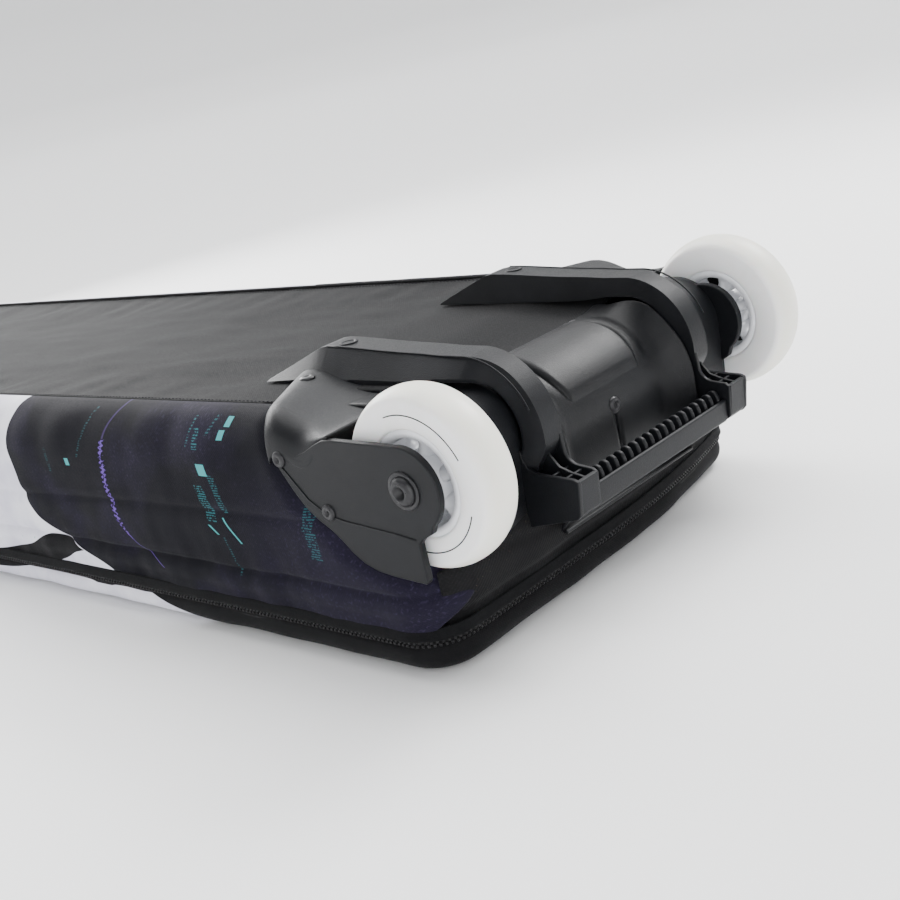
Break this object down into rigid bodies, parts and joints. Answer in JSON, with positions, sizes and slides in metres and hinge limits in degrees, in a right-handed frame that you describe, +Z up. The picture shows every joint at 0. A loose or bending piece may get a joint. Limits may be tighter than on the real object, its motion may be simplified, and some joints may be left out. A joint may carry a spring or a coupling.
{
  "type": "wheeled snowboard bag",
  "caption": "Long padded board bag lying lid down, with a moulded wheel chassis, fork-mounted skate wheels and a comb grip bar at one end and a zipped lid underneath.",
  "frame": {"origin": "on the floor below the middle of the bag's box, the bag lying on its lid", "axes": "+X towards the wheel end, +Y to the left side, +Z up through the back panel"},
  "size_m": [1.7, 0.34, 0.145],
  "materials": {
    "black_fabric": "matte woven",
    "print_fabric": "matte woven, printed",
    "light_fabric": "matte woven",
    "end_fabric": "coarse woven",
    "lining": "matte",
    "webbing": "ribbed",
    "board": "satin",
    "chassis": "grained",
    "buckle": "satin",
    "zip": "satin",
    "slider_metal": "satin",
    "tyre": "satin",
    "core": "satin",
    "dark_steel": "satin",
    "steel": "satin"
  },
  "bodies": {
    "bag": {"back_panel": "black_fabric", "back_insert": "end_fabric", "back_board": "board", "right_side_wall": "print_fabric", "left_side_wall": "print_fabric", "nose_wall": "light_fabric", "wheel_end_wall": "end_fabric", "base_zip_chain": "zip", "hinge_band": "black_fabric", "front_tie_strap": "webbing", "rear_tie_strap": "webbing", "front_buckle": "buckle", "rear_buckle": "buckle", "nose_handle_webbing": "webbing", "nose_handle_grip": "webbing", "right_handle_webbing": "webbing", "left_handle_webbing": "webbing", "right_handle_grip": "webbing", "left_handle_grip": "webbing", "right_wheel_housing": "chassis", "left_wheel_housing": "chassis", "right_side_plate": "chassis", "left_side_plate": "chassis", "center_guard": "chassis", "grip_bar": "chassis", "bar_screws": "steel", "plate_rivets": "dark_steel", "guard_rivets": "dark_steel", "guard_screw": "dark_steel", "deck_screws": "dark_steel", "backing_strips": "steel", "right_axle_bolt": "dark_steel", "right_axle_nut": "steel", "right_inner_races": "steel", "right_spacers": "steel", "right_bearing_balls": "steel", "left_axle_bolt": "dark_steel", "left_axle_nut": "steel", "left_inner_races": "steel", "left_spacers": "steel", "left_bearing_balls": "steel"},
    "lid": {"lid_shell": "light_fabric", "lid_padding": "lining", "lid_zip_chain": "zip"},
    "right_wheel": {"right_tyre": "tyre", "right_core": "core", "right_outer_races": "steel", "right_shields": "steel"},
    "left_wheel": {"left_tyre": "tyre", "left_core": "core", "left_outer_races": "steel", "left_shields": "steel"},
    "front_slider": {"front_zip_slider": "slider_metal"},
    "front_pull": {"front_zip_pull": "slider_metal"},
    "rear_slider": {"rear_zip_slider": "slider_metal"},
    "rear_pull": {"rear_zip_pull": "slider_metal"}
  },
  "joints": [
    {"name": "right_wheel_spin", "type": "hinge", "parent": "bag", "child": "right_wheel", "pos_m": [0.805, -0.1306, 0.1], "axis": [0, 1, 0], "continuous": true},
    {"name": "left_wheel_spin", "type": "hinge", "parent": "bag", "child": "left_wheel", "pos_m": [0.805, 0.1306, 0.1], "axis": [0, 1, 0], "continuous": true},
    {"name": "lid_hinge", "type": "hinge", "parent": "bag", "child": "lid", "pos_m": [0, 0.1512, 0.018], "axis": [1, 0, 0], "range_deg": [0, 110]},
    {"name": "front_slider_slide", "type": "slide", "parent": "bag", "child": "front_slider", "axis": [1, 0, 0], "range_m": [0, 0.72]},
    {"name": "rear_slider_slide", "type": "slide", "parent": "bag", "child": "rear_slider", "axis": [1, 0, 0], "range_m": [-0.68, 0]},
    {"name": "front_pull_swing", "type": "hinge", "parent": "front_slider", "child": "front_pull", "pos_m": [0.01, -0.1533, 0.018], "axis": [0, 0, 1], "range_deg": [-150, 0]},
    {"name": "rear_pull_swing", "type": "hinge", "parent": "rear_slider", "child": "rear_pull", "pos_m": [-0.01, -0.1533, 0.018], "axis": [0, 0, 1], "range_deg": [0, 150]}
  ]
}
